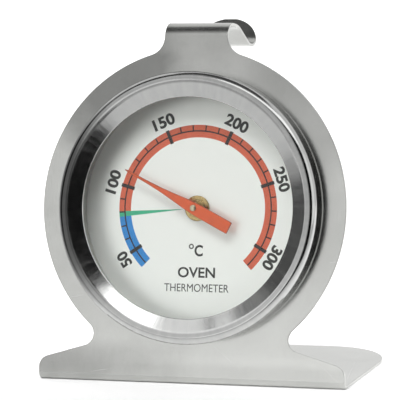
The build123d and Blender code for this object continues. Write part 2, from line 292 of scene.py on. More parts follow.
# ---------------------------------------------------------------------------
# Stand: the bent middle line (y, v), measured along its length
# ---------------------------------------------------------------------------
lean = math.acos(max(-1.0, min(1.0, float(BACK[1]))))
cl, sl = math.cos(lean), math.sin(lean)
HALF = 0.3
FOOT_UNDER, FOOT_LEN, FOOT_HALF, FOOT_CORNER = -33.1, 36.75, 30.3, 12.9
NECK = 6.24
foot_mid = FOOT_UNDER * cl + HALF
crease = math.radians(3.5)
crease_pt = (HALF, -28.4)
drop = (crease_pt[1] * cl - HALF * sl - foot_mid) / math.cos(lean - crease)
bend_pt = (HALF + drop * math.sin(crease), crease_pt[1] - drop * math.cos(crease))
rear_pt = (FOOT_LEN * cl - HALF * sl, FOOT_UNDER + FOOT_LEN * sl + HALF * cl)
crest_v = 34.55
knee_pt = (6.14, crest_v)
u_pt = (15.93, crest_v - math.tan(math.radians(23.4)) * (15.93 - 6.14))
tip_pt = (u_pt[0] + 7.7 * math.cos(math.radians(57.0)), u_pt[1] + 7.7 * math.sin(math.radians(57.0)))
MID = [rear_pt, bend_pt, crease_pt, (HALF, crest_v), knee_pt, u_pt, tip_pt]
MID_R = [0, 1.0, 45.0, 2.7, 8.2, 4.6, 0]

segs = []  # ("line", s0, s1, p, u) or ("arc", s0, s1, centre, r, t0, turn)
s_at, here = 0.0, np.array(MID[0])
for i in range(1, len(MID)):
    p = np.array(MID[i])
    u = (p - here) / np.linalg.norm(p - here)
    if i == len(MID) - 1:
        ln = float(np.linalg.norm(p - here))
        segs.append(("line", s_at, s_at + ln, here, u))
        s_at += ln
        break
    w = np.array(MID[i + 1]) - p
    w /= np.linalg.norm(w)
    turn = math.atan2(u[0] * w[1] - u[1] * w[0], float(u @ w))
    cut = MID_R[i] * math.tan(abs(turn) / 2)
    a = p - u * cut
    ln = float(np.linalg.norm(a - here))
    segs.append(("line", s_at, s_at + ln, here, u))
    s_at += ln
    sg = 1.0 if turn > 0 else -1.0
    c = a + np.array([-u[1], u[0]]) * MID_R[i] * sg
    segs.append(("arc", s_at, s_at + MID_R[i] * abs(turn), c, MID_R[i], math.atan2(a[1] - c[1], a[0] - c[0]), turn))
    s_at += MID_R[i] * abs(turn)
    here = p + w * cut
S_SHIFT = segs[4][1] - segs[4][3][1]  # s minus v on the flat plate
segs = [(g[0], g[1] - S_SHIFT, g[2] - S_SHIFT) + tuple(g[3:]) for g in segs]
S_REAR, S_TIP = segs[0][1], segs[-1][2]


def mid_line(s):
    """(y, v) and tangent of the middle line at the lengths s."""
    s = np.asarray(s, float)
    y, v = np.zeros_like(s), np.zeros_like(s)
    ty, tv = np.zeros_like(s), np.zeros_like(s)
    for n, g in enumerate(segs):
        m = (s <= g[2]) if n == 0 else ((s > g[1]) if n == len(segs) - 1 else ((s > g[1]) & (s <= g[2])))
        if g[0] == "line":
            y[m] = g[3][0] + (s[m] - g[1]) * g[4][0]
            v[m] = g[3][1] + (s[m] - g[1]) * g[4][1]
            ty[m], tv[m] = g[4]
        else:
            t = g[5] + g[6] * (s[m] - g[1]) / (g[2] - g[1])
            y[m] = g[3][0] + g[4] * np.cos(t)
            v[m] = g[3][1] + g[4] * np.sin(t)
            sg = 1.0 if g[6] > 0 else -1.0
            ty[m], tv[m] = -np.sin(t) * sg, np.cos(t) * sg
    return y, v, ty, tv


def stand_surface(x, s, h, n=None):
    y, v, ty, tv = mid_line(s)
    if n is None:
        return np.stack([x, y - tv * h, v + ty * h], 1)
    return np.stack([n[:, 0], n[:, 1] * ty - n[:, 2] * tv, n[:, 1] * tv + n[:, 2] * ty], 1)


def shoulder(x):
    return -28.94 - math.tan(math.radians(16.15)) * (x - FOOT_HALF)


# right half of the blank's outline, from the foot's rear edge to the tongue's tip
half_line = [(0.0, S_REAR), (10.0, S_REAR)]
half_line += arc(FOOT_HALF - FOOT_CORNER, S_REAR + FOOT_CORNER, FOOT_CORNER, -90, 0, 3)
sc_x = FOOT_HALF - 2.3
sc_v = shoulder(sc_x) - 2.3 / math.cos(math.radians(16.15))
half_line += arc(sc_x, sc_v, 2.3, 0, 90 - 16.15, 5)
# waist fillet: outside the circle and above the shoulder line
wr, pr = 2.31, 30.0
best = min(
    (abs(math.hypot(x, shoulder(x) + wr / math.cos(math.radians(16.15))) - (pr + wr)), x)
    for x in np.arange(19, 25, 0.0005)
)
wx = best[1]
wv = shoulder(wx) + wr / math.cos(math.radians(16.15))
to_centre = math.degrees(math.atan2(-wv, -wx))
a_start = -90.0 - 16.15
a_end = to_centre
if a_end > 0:
    a_end -= 360.0
half_line += arc(wx, wv, wr, a_start, a_end, 6)
a0 = math.degrees(math.atan2(wv, wx))
fx = NECK + 3.7
fv = math.sqrt((pr + 3.7) ** 2 - fx ** 2)
a1 = math.degrees(math.atan2(fv, fx))
half_line += arc(0, 0, pr, a0, a1, 1.25)[1:-1]
half_line += arc(fx, fv, 3.7, a1 - 180.0, -180.0, 4)
# rounded end of the tongue, an ellipse on the chord
ca = np.array([14.9, 31.9])
cb = np.array([tip_pt[0] + 0.1, tip_pt[1] + 0.05])
chord = float(np.linalg.norm(cb - ca))
cd = (cb - ca) / chord
fine = np.linspace(segs[8][1], S_TIP, 3000)
fy, fvv, _, _ = mid_line(fine)
q = (fy - ca[0]) * cd[0] + (fvv - ca[1]) * cd[1]
i0 = int(np.argmin(q))
fine, q = fine[i0:], q[i0:]
for i in range(0, 41):
    t = math.radians(90.0 * i / 40)
    qq = chord - 6.15 + 6.15 * math.sin(t)
    ss = float(np.interp(qq, q, fine))
    xx = NECK * math.cos(t)
    if qq > q[-1]:
        break
    half_line.append((xx, ss))
half_line.append((0.0, S_TIP))

# bend stations, where the blank needs points across
stations = []
for g in segs:
    if g[0] == "arc":
        k = max(8, int(math.ceil(abs(math.degrees(g[6])) / 3.5)))
        stations += [g[1] + (g[2] - g[1]) * i / k for i in range(k + 1)]
line = [half_line[0]]
for p in half_line[1:]:
    a = line[-1]
    if math.hypot(p[0] - a[0], p[1] - a[1]) < 1e-4:
        continue
    cuts = sorted(
        s for s in stations if min(a[1], p[1]) + 0.02 < s < max(a[1], p[1]) - 0.02 and p[1] != a[1]
    )
    if p[1] < a[1]:
        cuts = cuts[::-1]
    for s in cuts:
        f = (s - a[1]) / (p[1] - a[1])
        line.append((a[0] + (p[0] - a[0]) * f, s))
    line.append(p)
m = len(line)
outer = line + [(-x, s) for x, s in line[-2:0:-1]]
links = []
for i, (x, s) in enumerate(line):
    if 0 < i < m - 1 and min(abs(s - t) for t in stations) < 1e-6:
        links.append((i, len(outer) - i))
hole = arc(0, 0, 23.75, 0, 360, 1.0)[:-1]
stand = sheet_piece("stand_sheet", outer, [hole], links, HALF, 0.11, stand_surface)

# ---------------------------------------------------------------------------
# Bezel: rolled base corner, straight wall, rounded shoulder and a hollow slope
# down to the lip
# ---------------------------------------------------------------------------
RIDGE_R, CROWN, SLOPE = 24.15, 3.0, math.radians(21.5)
slope = []
for i in range(1, 29):
    dr = (RIDGE_R - 20.8) * i / 29.0
    if dr <= CROWN * math.sin(SLOPE):
        dy = CROWN - math.sqrt(CROWN ** 2 - dr ** 2)
    else:
        dy = CROWN * (1 - math.cos(SLOPE)) + (dr - CROWN * math.sin(SLOPE)) * math.tan(SLOPE)
    slope.append((RIDGE_R - dr, -4.5 + dy))
bezel = lathe(
    "bezel",
    [(24.0, 0.0, 0.1), (25.45, 0.0, 0.55), (25.45, -4.5, 1.3)]
    + [(r, y, 0) for r, y in slope]
    + [(20.7, -3.37, 0.16), (20.7, -2.96, 0.1), (20.95, -2.97, 0.05)]
    + [(r, y + 0.4, 0) for r, y in slope[::-1][3:]]
    + [(25.05, -4.1, 0.9), (25.05, -0.4, 0.15), (24.0, -0.4, 0.1)],
    seg=300, step=5.0,
)

# ---------------------------------------------------------------------------
# Rear case with its bead, swaged front edge and punched vents
# ---------------------------------------------------------------------------
rear = lathe(
    "rear_cup",
    [(23.1, -0.85, 0.12), (24.8, -0.85, 0.14), (24.8, -0.42, 0.14), (23.6, -0.42, 0.1), (23.6, 0.62, 0.12),
     (25.3, 0.62, 0.36), (25.3, 1.4, 0.36), (23.6, 1.4, 0.2), (23.6, 9.6, 2.0), (19.0, 9.6, 0), (12.0, 9.6, 0),
     (5.0, 9.6, 0), (0.0, 9.6, 0), (0.0, 9.1, 0), (5.0, 9.1, 0), (12.0, 9.1, 0), (19.0, 9.1, 0), (23.1, 9.1, 1.5)],
    seg=240, step=9.0,
)


def turned_cutter(name, x, v, corners, seg=40):
    pts, _ = rounded(corners)
    verts, faces, rings = [], [], []
    for r, y in pts:
        if r < 1e-6:
            rings.append([len(verts)])
            verts.append((x, y, v))
        else:
            rings.append(list(range(len(verts), len(verts) + seg)))
            verts += [(x + r * math.cos(2 * math.pi * j / seg), y, v + r * math.sin(2 * math.pi * j / seg)) for j in range(seg)]
    for i in range(len(rings)):
        a, b = rings[i], rings[(i + 1) % len(rings)]
        if len(a) == 1 and len(b) == 1:
            continue
        for j in range(seg):
            k = (j + 1) % seg
            if len(a) == 1:
                faces.append((a[0], b[j], b[k]))
            elif len(b) == 1:
                faces.append((a[j], b[0], a[k]))
            else:
                faces.append((a[j], b[j], b[k], a[k]))
    ob = make_object(name, verts, faces, smooth=True)
    bm = bmesh.new()
    bm.from_mesh(ob.data)
    bmesh.ops.recalc_face_normals(bm, faces=bm.faces[:])
    bm.to_mesh(ob.data)
    bm.free()
    return ob


cutters = []
for k in range(8):
    a = math.radians(22.5 + 45 * k)
    cutters.append(
        turned_cutter(
            f"vent_cutter_{k}", 15.5 * math.cos(a), 15.5 * math.sin(a),
            [(0, 8.4, 0), (1.75, 8.4, 0), (1.1, 9.22, 0), (1.1, 9.42, 0.15), (1.62, 9.9, 0), (0, 9.9, 0)],
        )
    )
bpy.ops.object.select_all(action="DESELECT")
for o in cutters:
    o.select_set(True)
bpy.context.view_layer.objects.active = cutters[0]
bpy.ops.object.join()
cutter = cutters[0]
mod = rear.modifiers.new("vents", "BOOLEAN")
mod.operation = "DIFFERENCE"
mod.solver = "EXACT"
mod.object = cutter
dg = bpy.context.evaluated_depsgraph_get()
cut_mesh = bpy.data.meshes.new_from_object(rear.evaluated_get(dg))
rear.modifiers.clear()
rear.data = cut_mesh
bpy.data.objects.remove(cutter)
bm = bmesh.new()
bm.from_mesh(rear.data)
bmesh.ops.remove_doubles(bm, verts=bm.verts[:], dist=1e-7)
bmesh.ops.dissolve_degenerate(bm, edges=bm.edges[:], dist=1e-8)
bmesh.ops.recalc_face_normals(bm, faces=bm.faces[:])
for f in bm.faces:
    f.smooth = True
bm.to_mesh(rear.data)
bm.free()
if rear.data.attributes.get("custom_normal"):
    rear.data.attributes.remove(rear.data.attributes["custom_normal"])
rear.data.set_sharp_from_angle(angle=math.radians(24))
weigh = rear.modifiers.new("weighted", "WEIGHTED_NORMAL")
weigh.keep_sharp = True
weigh.weight = 80

# ---------------------------------------------------------------------------
# Spacer ring, bush, spindle
# ---------------------------------------------------------------------------
spacer = lathe("spacer_ring", [(22.3, -1.45, 0.1), (22.9, -1.45, 0.1), (22.9, 2.88, 0.05), (22.3, 2.88, 0.05)], seg=240)
bush = lathe(
    "brass_bush",
    [(0.63, 2.0, 0.05), (1.65, 2.0, 0.1), (1.65, 2.45, 0.06), (2.4, 2.45, 0.16), (2.4, 2.9, 0.04), (1.5, 2.9, 0.03),
     (1.5, 5.6, 0.15), (0.63, 5.6, 0.05)],
    seg=160,
)
spindle_piece = lathe(
    "turned_spindle",
    [(0, 0.05, 0), (0.3, 0.07, 0), (0.6, 0.16, 0.08), (0.6, 8.75, 0.1), (0, 8.75, 0)],
    seg=96,
)


# ---------------------------------------------------------------------------
# Pointer
# ---------------------------------------------------------------------------
POINTER_AT = math.radians(152.9)
ptr_corners = [
    (-8.05, -1.17, 0.14), (-1.0, -1.17, 3.0), (1.6, -1.0, 3.0), (4.2, -0.72, 6.0), (7.4, -0.42, 8.0), (10.6, -0.28, 8.0),
    (14.6, -0.19, 2.0), (15.45, -0.08, 0.05),
    (15.45, 0.08, 0.05), (14.6, 0.19, 2.0), (10.6, 0.28, 8.0), (7.4, 0.42, 8.0), (4.2, 0.72, 6.0), (1.6, 1.0, 3.0),
    (-1.0, 1.17, 3.0), (-8.05, 1.17, 0.14),
]
ptr_pts, _ = rounded(ptr_corners, step=6.0)
ptr_loop = [(x * math.cos(POINTER_AT) - z * math.sin(POINTER_AT), x * math.sin(POINTER_AT) + z * math.cos(POINTER_AT)) for x, z in ptr_pts]
ptr_hole = arc(0, 0, 0.605, 0, 360, 7.5)[:-1]


def flat_at(y_mid):
    def surface(x, s, h, n=None):
        if n is None:
            return np.stack([x, y_mid - h, s], 1)
        return np.stack([n[:, 0], -n[:, 2], n[:, 1]], 1)
    return surface


pointer_plate = sheet_piece("pointer_blade", ptr_loop, [ptr_hole], [], 0.15, 0.05, flat_at(0.45))
pointer_boss = lathe("pointer_boss", [(0.605, 0.58, 0.03), (1.15, 0.58, 0.04), (1.15, 1.8, 0.15), (0.605, 1.8, 0.05)], seg=120)


# ---------------------------------------------------------------------------
# Bimetal strip: a flat spiral from the hub out to the bracket's tab
# ---------------------------------------------------------------------------
def coil_line():
    pts = []
    turns, r0, r1 = 6.0, 1.6, 8.9
    n = 6 * 60
    for i in range(n + 1):
        f = i / n
        th = 2 * math.pi * turns * (f - 1) - 0.55
        r = r0 + (r1 - r0) * f
        pts.append((r * math.cos(th), r * math.sin(th)))
    x1 = 10.4 - 0.15
    a = np.array(pts[-1])
    d = np.array(pts[-1]) - np.array(pts[-2])
    d /= np.linalg.norm(d)
    b = np.array([x1, -1.5])
    for i in range(1, 13):  # an easy curve that ends straight along the tab
        t = i / 12
        h00, h10 = 2 * t ** 3 - 3 * t ** 2 + 1, t ** 3 - 2 * t ** 2 + t
        h01, h11 = -2 * t ** 3 + 3 * t ** 2, t ** 3 - t ** 2
        pts.append(tuple(h00 * a + h10 * d * 3.6 + h01 * b + h11 * np.array([0, 1.0]) * 2.4))
    pts.append((x1, 0.0))
    pts.append((x1, 1.9))
    turned = math.radians(-90)
    return np.array([(x * math.cos(turned) - z * math.sin(turned), x * math.sin(turned) + z * math.cos(turned)) for x, z in pts])


cline = coil_line()
section, sect_n = rounded([(-0.15, 6.3, 0.05), (0.15, 6.3, 0.05), (0.15, 8.3, 0.05), (-0.15, 8.3, 0.05)], step=30)
tang = np.gradient(cline, axis=0)
tang /= np.linalg.norm(tang, axis=1, keepdims=True)
side_n = np.stack([tang[:, 1], -tang[:, 0]], 1)
run = np.concatenate([[0], np.cumsum(np.linalg.norm(np.diff(cline, axis=0), axis=1))])
cverts, cnorm, cface, cweight = [], [], [], []
k = len(section)
for i, (p, sn) in enumerate(zip(cline, side_n)):
    for (o, y), (no, ny) in zip(section, sect_n):
        cverts.append((p[0] + sn[0] * o, y, p[1] + sn[1] * o))
        cnorm.append((sn[0] * no, ny, sn[1] * no))
        cweight.append(1.0 - run[i] / run[-4])
    if i:
        a, b = (i - 1) * k, i * k
        for j in range(k):
            cface.append((a + j, a + (j + 1) % k, b + (j + 1) % k, b + j))
cface.append(tuple(range(k))[::-1])
cface.append(tuple((len(cline) - 1) * k + j for j in range(k)))
coil = make_object("bimetal_spiral", cverts, cface)
bm = bmesh.new()
bm.from_mesh(coil.data)
bmesh.ops.recalc_face_normals(bm, faces=bm.faces[:])
bm.to_mesh(coil.data)
bm.free()
coil.data.set_sharp_from_angle(angle=math.radians(50))


# ---------------------------------------------------------------------------
# Print on the dial: thin layers of ink on its face
# ---------------------------------------------------------------------------
INK = 2.9


def merge(name, parts):
    """One object from several closed shells of (points, faces)."""
    verts, faces = [], []
    for p, f in parts:
        b = len(verts)
        verts += list(p)
        faces += [tuple(b + i for i in q) for q in f]
    ob = make_object(name, verts, faces, smooth=False)
    bm = bmesh.new()
    bm.from_mesh(ob.data)
    bmesh.ops.recalc_face_normals(bm, faces=bm.faces[:])
    bm.to_mesh(ob.data)
    bm.free()
    return ob


def slab(loop, thick):
    """Closed thin plate with the outline loop standing proud of the dial."""
    n = len(loop)
    pts = [(x, INK - thick, z) for x, z in loop] + [(x, INK - 0.0004, z) for x, z in loop]
    f = [tuple(range(n)), tuple(range(n, 2 * n))[::-1]]
    f += [(i, (i + 1) % n, n + (i + 1) % n, n + i) for i in range(n)]
    return pts, f


def ring_part(r0, r1, a0, a1, thick, step=1.0):
    """Closed thin part of a ring, made of quads."""
    k = max(1, int(math.ceil(abs(a1 - a0) / step)))
    pts, f = [], []
    for i in range(k + 1):
        a = math.radians(a0 + (a1 - a0) * i / k)
        c, s = math.cos(a), math.sin(a)
        pts += [(r0 * c, INK - thick, r0 * s), (r1 * c, INK - thick, r1 * s), (r1 * c, INK - 0.0004, r1 * s), (r0 * c, INK - 0.0004, r0 * s)]
        if i:
            a_, b_ = 4 * (i - 1), 4 * i
            for j in range(4):
                f.append((a_ + j, a_ + (j + 1) % 4, b_ + (j + 1) % 4, b_ + j))
    f.append((0, 1, 2, 3))
    e = 4 * k
    f.append((e + 3, e + 2, e + 1, e))
    return pts, f


BAND_IN, BAND_OUT = 13.34, 15.70
A_HOT, A_COLD = -46.3, 226.0
A_G0, A_G1 = 183.0, 186.9
red_band = merge("dial_red_band", [ring_part(BAND_IN, BAND_OUT, A_HOT, A_G0, 0.010)])
blue_band = merge("dial_blue_band", [ring_part(BAND_IN, BAND_OUT, A_G1, A_COLD, 0.010)])


def polar(r, a):
    return (r * math.cos(math.radians(a)), r * math.sin(math.radians(a)))


wedge = [polar(BAND_IN + 0.1, A_G0), (-3.0, -0.20), (-3.0, -0.26), polar(BAND_IN + 0.1, A_G1)]
green_band = merge("dial_green_band", [ring_part(BAND_IN, BAND_OUT, A_G0, A_G1, 0.012), slab(wedge, 0.010)])


def tick(a, r0, r1, w, thick):
    c, s = math.cos(math.radians(a)), math.sin(math.radians(a))
    q = [(r0, -w / 2), (r1, -w / 2), (r1, w / 2), (r0, w / 2)]
    return slab([(u * c - t * s, u * s + t * c) for u, t in q], thick)


MAJOR = {50: 213.1, 100: 164.5, 150: 113.7, 200: 65.7, 250: 18.7, 300: -30.1}
MINOR = [-20.5, -10.8, -1.0, 8.8, 28.0, 37.3, 46.8, 56.2, 75.0, 84.8, 94.5, 104.0, 123.8, 133.8, 144.0, 154.3,
         174.2, 183.6, 193.8, 203.3]
ARC_R = 14.56
marks = [ring_part(ARC_R - 0.13, ARC_R + 0.13, A_HOT, A_COLD, 0.016)]
marks += [tick(a, 13.18, 15.86, 0.66, 0.020) for a in MAJOR.values()]
marks += [tick(a, ARC_R, 15.68, 0.26, 0.018) for a in MINOR]
ticks = merge("dial_marks", marks)


def lettering(name, items, thick=0.012):
    """Letters as closed thin shapes. items are (text, centre, turn, height, width, weight)."""
    parts = []
    for body, centre, turn, height, width, weight in items:
        cu = bpy.data.curves.new(name + "_t", "FONT")
        cu.body = body
        cu.size = 1.0
        cu.resolution_u = 6
        cu.offset = weight
        cu.extrude = 0.5
        cu.align_x = "CENTER"
        ob = bpy.data.objects.new(name + "_t", cu)
        bpy.context.scene.collection.objects.link(ob)
        dg = bpy.context.evaluated_depsgraph_get()
        me = bpy.data.meshes.new_from_object(ob.evaluated_get(dg))
        bm = bmesh.new()
        bm.from_mesh(me)
        bmesh.ops.remove_doubles(bm, verts=bm.verts[:], dist=1e-5)
        bmesh.ops.recalc_face_normals(bm, faces=bm.faces[:])
        co = np.array([tuple(v.co) for v in bm.verts])
        faces = [tuple(v.index for v in f.verts) for f in bm.faces]
        bm.free()
        bpy.data.objects.remove(ob)
        bpy.data.curves.remove(cu)
        bpy.data.meshes.remove(me)
        lo, hi = co.min(0), co.max(0)
        x = (co[:, 0] - (lo[0] + hi[0]) / 2) * (width / (hi[0] - lo[0]))
        z = (co[:, 1] - (lo[1] + hi[1]) / 2) * (height / (hi[1] - lo[1]))
        f = (co[:, 2] - lo[2]) / (hi[2] - lo[2])
        c, s = math.cos(turn), math.sin(turn)
        pts = np.stack([
            centre[0] + x * c - z * s,
            np.where(f > 0.5, INK - thick, INK - 0.0004),
            centre[1] + x * s + z * c,
        ], 1)
        parts.append((pts, faces))
    return merge(name, parts)


NUM_H = 2.25
numerals = []
for body, r, a, w in (
    ("50", 17.55, 214.4, 2.95), ("100", 17.68, 164.3, 4.45), ("150", 17.68, 113.7, 4.45),
    ("200", 17.66, 65.0, 4.75), ("250", 17.45, 18.9, 4.7), ("300", 17.45, -31.2, 4.7),
):
    numerals.append((body, polar(r, a), math.radians(a - 90), NUM_H, w, 0.036))
figures = lettering("dial_figures", numerals)
words = lettering(
    "dial_words",
    [
        ("C", (0.42, -7.95), 0.0, 2.15, 1.66, 0.026),
        ("OVEN", (0.06, -12.05), 0.0, 1.98, 7.4, 0.02),
        ("THERMOMETER", (0.10, -14.95), 0.0, 1.48, 12.8, 0.0),
    ],
)
deg = merge("dial_degree", [ring_part(0.27, 0.50, 0, 359.999, 0.012, 15.0)])
deg_shift = to_row((-1.05, 0, -7.18)) - to_row((0, 0, 0))
deg.data.transform(Matrix.Translation(Vector(deg_shift)))


# ---------------------------------------------------------------------------
# Materials
# ---------------------------------------------------------------------------
class Nodes:
    """Short calls for making a material's nodes."""

    def __init__(self, name):
        self.mat = bpy.data.materials.new(name)
        self.mat.use_nodes = True
        self.nt = self.mat.node_tree
        self.nt.nodes.clear()
        self.out = self.nt.nodes.new("ShaderNodeOutputMaterial")
        self.coord = self.nt.nodes.new("ShaderNodeTexCoord").outputs["Object"]

    def put(self, socket, value):
        if isinstance(value, bpy.types.NodeSocket):
            self.nt.links.new(value, socket)
        else:
            socket.default_value = value

    def shader(self, **values):
        n = self.nt.nodes.new("ShaderNodeBsdfPrincipled")
        for k, v in values.items():
            self.put(n.inputs[k.replace("_", " ")], v)
        self.nt.links.new(n.outputs[0], self.out.inputs[0])
        return n

    def math(self, op, a, b=None, c=None, clamp=False):
        n = self.nt.nodes.new("ShaderNodeMath")
        n.operation = op
        n.use_clamp = clamp
        for i, v in enumerate((a, b, c)):
            if v is not None:
                self.put(n.inputs[i], v)
        return n.outputs[0]

    def vmath(self, op, a, b=None):
        n = self.nt.nodes.new("ShaderNodeVectorMath")
        n.operation = op
        self.put(n.inputs[0], a)
        if b is not None:
            self.put(n.inputs[1], b)
        return n.outputs["Value"] if op in ("DOT_PRODUCT", "LENGTH") else n.outputs["Vector"]

    def noise(self, vector, scale, detail=3.0, rough=0.55, distort=0.0):
        n = self.nt.nodes.new("ShaderNodeTexNoise")
        self.put(n.inputs["Vector"], vector)
        n.inputs["Scale"].default_value = scale
        n.inputs["Detail"].default_value = detail
        n.inputs["Roughness"].default_value = rough
        n.inputs["Distortion"].default_value = distort
        return n.outputs["Fac"]

    def ramp(self, fac, stops, interpolation="LINEAR"):
        n = self.nt.nodes.new("ShaderNodeValToRGB")
        self.put(n.inputs[0], fac)
        n.color_ramp.interpolation = interpolation
        e = n.color_ramp.elements
        while len(e) < len(stops):
            e.new(0.5)
        for i, (pos, col) in enumerate(stops):
            e[i].position = pos
            e[i].color = (*col, 1.0) if not isinstance(col, (int, float)) else (col, col, col, 1.0)
        return n.outputs[0]

    def span(self, fac, lo, hi, a, b, smooth=False):
        n = self.nt.nodes.new("ShaderNodeMapRange")
        n.interpolation_type = "SMOOTHSTEP" if smooth else "LINEAR"
        n.clamp = True
        for i, v in enumerate((fac, lo, hi, a, b)):
            self.put(n.inputs[i], v)
        return n.outputs[0]

    def mix(self, fac, a, b, mode="MIX"):
        n = self.nt.nodes.new("ShaderNodeMix")
        n.data_type = "RGBA"
        n.blend_type = mode
        self.put(n.inputs[0], fac)
        self.put(n.inputs[6], a if isinstance(a, bpy.types.NodeSocket) else (*a, 1.0))
        self.put(n.inputs[7], b if isinstance(b, bpy.types.NodeSocket) else (*b, 1.0))
        return n.outputs[2]

    def bump(self, height, strength, distance, normal=None):
        n = self.nt.nodes.new("ShaderNodeBump")
        self.put(n.inputs["Height"], height)
        n.inputs["Strength"].default_value = strength
        n.inputs["Distance"].default_value = distance
        if normal is not None:
            self.put(n.inputs["Normal"], normal)
        return n.outputs[0]

    # the dial's own coordinates, in millimetres
    def local(self):
        p = self.vmath("SUBTRACT", self.coord, tuple(DC))
        x = self.math("MULTIPLY", self.vmath("DOT_PRODUCT", p, tuple(RIGHT)), 1000.0)
        y = self.math("MULTIPLY", self.vmath("DOT_PRODUCT", p, tuple(BACK)), 1000.0)
        v = self.math("MULTIPLY", self.vmath("DOT_PRODUCT", p, tuple(UP)), 1000.0)
        return x, y, v

    def join(self, x, y, z):
        n = self.nt.nodes.new("ShaderNodeCombineXYZ")
        for i, v in enumerate((x, y, z)):
            self.put(n.inputs[i], v)
        return n.outputs[0]

    def hypot(self, a, b):
        return self.math("SQRT", self.math("ADD", self.math("MULTIPLY", a, a), self.math("MULTIPLY", b, b)))


def srgb(r, g, b):
    out = []
    for c in (r, g, b):
        c = c / 255.0
        out.append(c / 12.92 if c <= 0.04045 else ((c + 0.055) / 1.055) ** 2.4)
    return tuple(out)


# stand: cold-rolled sheet with a faint grain along the plate, soft mottling and
# a few hairline scratches; painted shade darkens its colour in patches at the upper left and upper right, over the
# upper plate and at the lower left
def stand_material():
    m = Nodes("satin_steel")
    x, y, v = m.local()
    mott = m.noise(m.coord, 170.0, 4.0, 0.6)
    cloud = m.noise(m.coord, 42.0, 2.0, 0.5)
    grain = m.noise(m.join(m.math("MULTIPLY", x, 9.0), m.math("MULTIPLY", y, 9.0), m.math("MULTIPLY", v, 0.35)), 1.0, 3.0, 0.6)
    fine = m.noise(m.coord, 5200.0, 2.0, 0.5)
    # hairline scratches: thin lines where two crossing waves pass a level
    def scratch(angle, spacing, width, seed):
        a = math.radians(angle)
        u = m.math("ADD", m.math("MULTIPLY", x, math.cos(a)), m.math("MULTIPLY", v, math.sin(a)))
        w = m.math("SUBTRACT", m.math("MULTIPLY", v, math.cos(a)), m.math("MULTIPLY", x, math.sin(a)))
        wob = m.math("MULTIPLY", m.noise(m.join(m.math("MULTIPLY", u, 0.05), seed, 0.0), 1.0, 1.0), 5.0)
        t = m.math("ADD", w, wob)
        cell = m.math("FLOOR", m.math("DIVIDE", t, spacing))
        inside_cell = m.math("ABSOLUTE", m.math("SUBTRACT", m.math("MODULO", m.math("ADD", m.math("DIVIDE", t, spacing), 400.0), 1.0), 0.5))
        line_ = m.span(inside_cell, 0.0, width / spacing, 1.0, 0.0)
        gate = m.noise(m.join(m.math("MULTIPLY", u, 0.11), m.math("MULTIPLY", cell, 3.71), seed), 1.0, 0.0)
        return m.math("MULTIPLY", line_, m.span(gate, 0.64, 0.76, 0.0, 1.0))
    scr = m.math("MAXIMUM", scratch(8.0, 7.3, 0.035, 2.0), scratch(-37.0, 10.1, 0.03, 7.0))
    rough = m.math("ADD", m.span(mott, 0.3, 0.7, 0.195, 0.25), m.math("MULTIPLY", m.span(grain, 0.3, 0.7, -0.5, 0.5), 0.03))
    rough = m.math("ADD", rough, m.math("MULTIPLY", scr, 0.10))
    tone = m.math("ADD", m.math("MULTIPLY", m.span(cloud, 0.3, 0.7, -1.0, 1.0), 0.012), m.math("MULTIPLY", m.span(mott, 0.3, 0.7, -1.0, 1.0), 0.018))
    tone = m.math("ADD", tone, m.math("MULTIPLY", m.span(grain, 0.3, 0.7, -1.0, 1.0), 0.014))
    blot = m.noise(m.coord, 95.0, 3.0, 0.55, 0.4)
    tone = m.math("ADD", tone, m.math("MULTIPLY", m.span(blot, 0.32, 0.68, -1.0, 1.0), 0.014))
    tone = m.math("ADD", tone, 0.5)
    col = m.ramp(tone, [(0.44, (0.448, 0.453, 0.436)), (0.56, (0.612, 0.617, 0.598))])
    # painted shade: patches at the upper left and upper right, a band over the upper plate and the lower left,
    # multiplied into the colour
    dx = m.math("DIVIDE", m.math("ADD", x, 15.5), 13.0)
    dv = m.math("DIVIDE", m.math("SUBTRACT", v, 23.0), 14.0)
    d2 = m.math("ADD", m.math("MULTIPLY", dx, dx), m.math("MULTIPLY", dv, dv))
    d2 = m.math("ADD", d2, m.span(blot, 0.3, 0.7, -0.25, 0.25))
    painted_shade_spots = m.span(d2, 0.0, 1.6, 1.0, 0.0, True)
    painted_shade_top = m.math("MULTIPLY", m.span(v, 16.0, 31.0, 0.0, 1.0, True), m.span(v, 33.8, 35.2, 1.0, 0.0, True))
    painted_shade_low = m.math("MULTIPLY", m.span(v, -28.5, -24.0, 1.0, 0.0, True), m.span(x, -24.0, 4.0, 1.0, 0.0, True))
    painted_shade_low = m.math("MULTIPLY", painted_shade_low, m.span(v, -33.5, -31.0, 0.45, 1.0, True))
    ex = m.math("DIVIDE", m.math("SUBTRACT", x, 20.0), 12.0)
    ev = m.math("DIVIDE", m.math("SUBTRACT", v, 18.0), 13.0)
    e2 = m.math("ADD", m.math("MULTIPLY", ex, ex), m.math("MULTIPLY", ev, ev))
    painted_shade_spots = m.math("ADD", painted_shade_spots, m.math("MULTIPLY", m.span(e2, 0.0, 1.6, 1.0, 0.0, True), 0.44))
    shade = m.math("ADD", m.math("MULTIPLY", painted_shade_spots, 0.54), m.math("ADD", m.math("MULTIPLY", painted_shade_top, 0.24), m.math("MULTIPLY", painted_shade_low, 0.26)))
    shade = m.math("SUBTRACT", 1.0, m.math("MINIMUM", shade, 0.55))
    # the painted shade goes into the base colour here
    col = m.mix(1.0, col, m.join(shade, shade, shade), "MULTIPLY")
    col = m.mix(m.math("MULTIPLY", scr, 0.35), col, (0.82, 0.83, 0.82))
    h1 = m.bump(cloud, 0.14, 0.0006)
    h2 = m.bump(grain, 0.035, 0.00006, h1)
    h3 = m.bump(fine, 0.05, 0.00001, h2)
    h4 = m.bump(scr, -0.08, 0.000004, h3)
    m.shader(Base_Color=col, Metallic=1.0, Roughness=rough, Normal=h4)
    return m.mat
